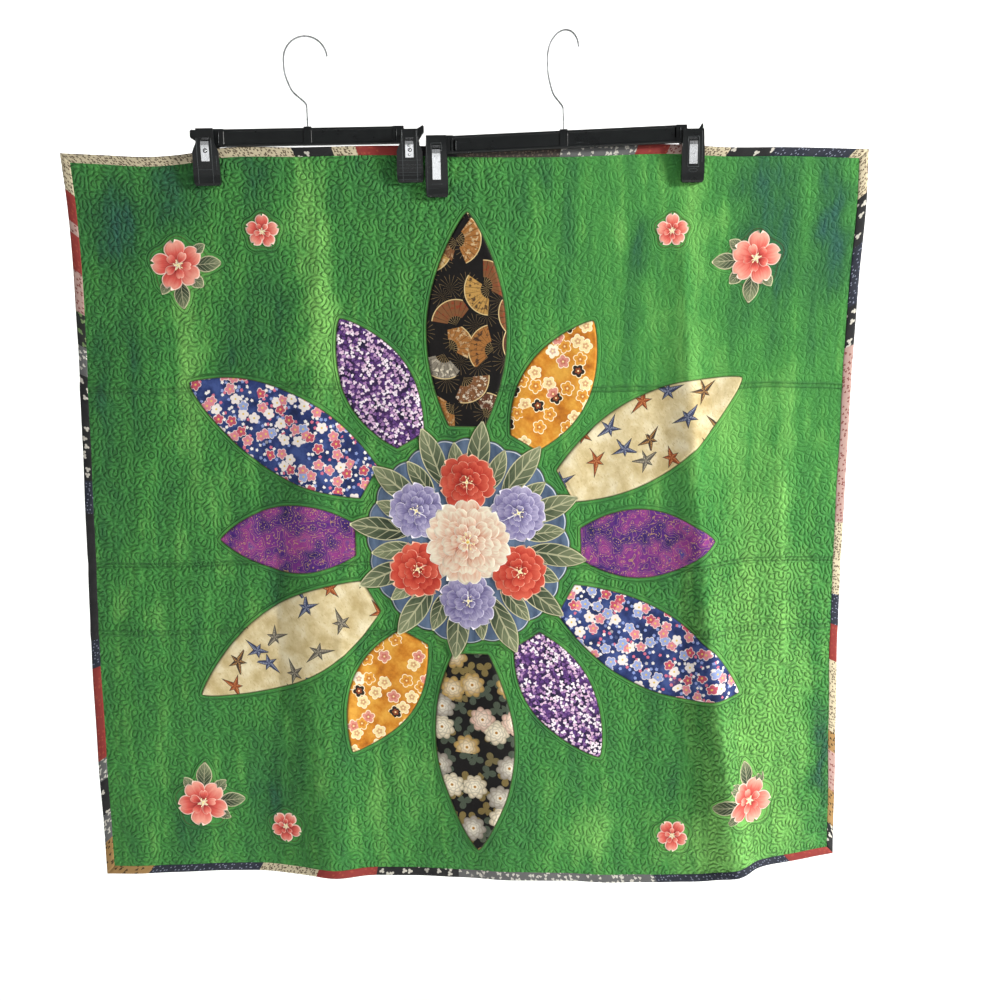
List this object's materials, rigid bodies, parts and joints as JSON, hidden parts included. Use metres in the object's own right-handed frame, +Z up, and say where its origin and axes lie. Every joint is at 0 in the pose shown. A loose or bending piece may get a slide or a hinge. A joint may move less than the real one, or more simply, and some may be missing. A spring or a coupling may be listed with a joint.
{
  "type": "quilted wall hanging with clip hangers",
  "caption": "Quilted and appliqued cloth wall hanging, bound at its edges, gripped along its top by black plastic clip hangers with steel wire hooks.",
  "frame": {"origin": "on the level line that both wire hooks bear on, midway between them", "axes": "+Z up, +X to the right as the front is seen, the front faces -Y"},
  "size_m": [1.016, 0.0831, 1.1142],
  "materials": {
    "green_cotton": "matt printed quilting cotton",
    "print_fans": "matt printed quilting cotton",
    "print_gold": "matt printed quilting cotton",
    "print_cream": "matt printed quilting cotton",
    "print_purple": "matt printed quilting cotton",
    "print_navy": "matt printed quilting cotton",
    "print_lilac": "matt printed quilting cotton",
    "print_peony": "matt printed quilting cotton",
    "slate_blue": "matt printed quilting cotton",
    "coral_print": "matt printed quilting cotton",
    "floral_print": "matt printed quilting cotton",
    "binding_print": "matt printed quilting cotton",
    "black_plastic": "moulded satin black, lightly scuffed",
    "steel_wire": "bright plated wire",
    "spring_steel": "bright strip with rolled edges"
  },
  "bodies": {
    "root": {"binding_bottom": "binding_print", "binding_left": "binding_print", "binding_right": "binding_print", "binding_top": "binding_print", "blossom_lower_left": "coral_print", "blossom_lower_right": "coral_print", "blossom_upper_left": "coral_print", "blossom_upper_right": "coral_print", "disc": "slate_blue", "hanger_left_bar": "black_plastic", "hanger_left_hook": "steel_wire", "hanger_left_inner_jaw_back": "black_plastic", "hanger_left_inner_jaw_front": "black_plastic", "hanger_left_inner_spring": "spring_steel", "hanger_left_outer_jaw_back": "black_plastic", "hanger_left_outer_jaw_front": "black_plastic", "hanger_left_outer_spring": "spring_steel", "hanger_right_bar": "black_plastic", "hanger_right_hook": "steel_wire", "hanger_right_inner_jaw_back": "black_plastic", "hanger_right_inner_jaw_front": "black_plastic", "hanger_right_inner_spring": "spring_steel", "hanger_right_outer_jaw_back": "black_plastic", "hanger_right_outer_jaw_front": "black_plastic", "hanger_right_outer_spring": "spring_steel", "petal_01": "print_fans", "petal_02": "print_gold", "petal_03": "print_cream", "petal_04": "print_purple", "petal_05": "print_navy", "petal_06": "print_lilac", "petal_07": "print_peony", "petal_08": "print_gold", "petal_09": "print_cream", "petal_10": "print_purple", "petal_11": "print_navy", "petal_12": "print_lilac", "quilt_ground": "green_cotton", "sprig_lower_left": "coral_print", "sprig_lower_right": "coral_print", "sprig_upper_left": "coral_print", "sprig_upper_right": "coral_print", "wreath": "floral_print"}
  },
  "joints": []
}
